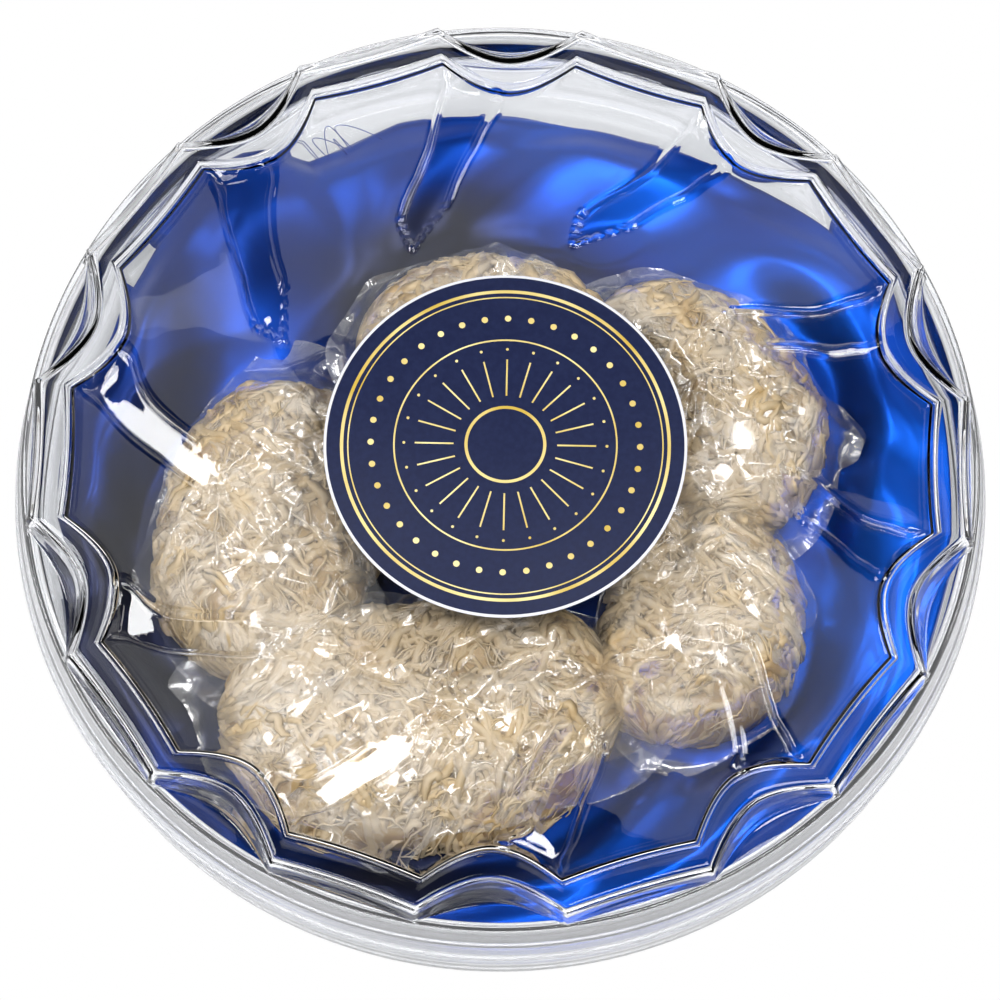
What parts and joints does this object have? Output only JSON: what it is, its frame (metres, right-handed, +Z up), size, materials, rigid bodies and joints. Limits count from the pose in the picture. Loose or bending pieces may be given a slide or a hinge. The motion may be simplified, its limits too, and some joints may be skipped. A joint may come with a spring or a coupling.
{
  "type": "boxed edible birds' nests",
  "caption": "Round clear plastic gift box with a scalloped lid and a plain round label, holding film-wrapped edible birds' nests on blue satin.",
  "frame": {"origin": "on the surface the box stands on, under the middle of the box", "axes": "+Z up through the lid, -Y towards the front, +X to the right seen from the front"},
  "size_m": [0.19, 0.19, 0.0345],
  "materials": {
    "clear_plastic": "clear, polished",
    "film": "thin clear crinkled film",
    "label": "printed sticker, satin varnish, plain gold rings",
    "satin": "royal blue satin",
    "nest": "dried translucent fibres, ivory"
  },
  "bodies": {
    "root": {"base": "clear_plastic", "lid": "clear_plastic", "label": "label", "satin_lining": "satin", "nest_1": "nest", "nest_2": "nest", "nest_3": "nest", "nest_4": "nest", "nest_5": "nest", "film_wrap_1": "film", "film_wrap_2": "film", "film_wrap_3": "film", "film_wrap_4": "film", "film_wrap_5": "film"}
  },
  "joints": []
}
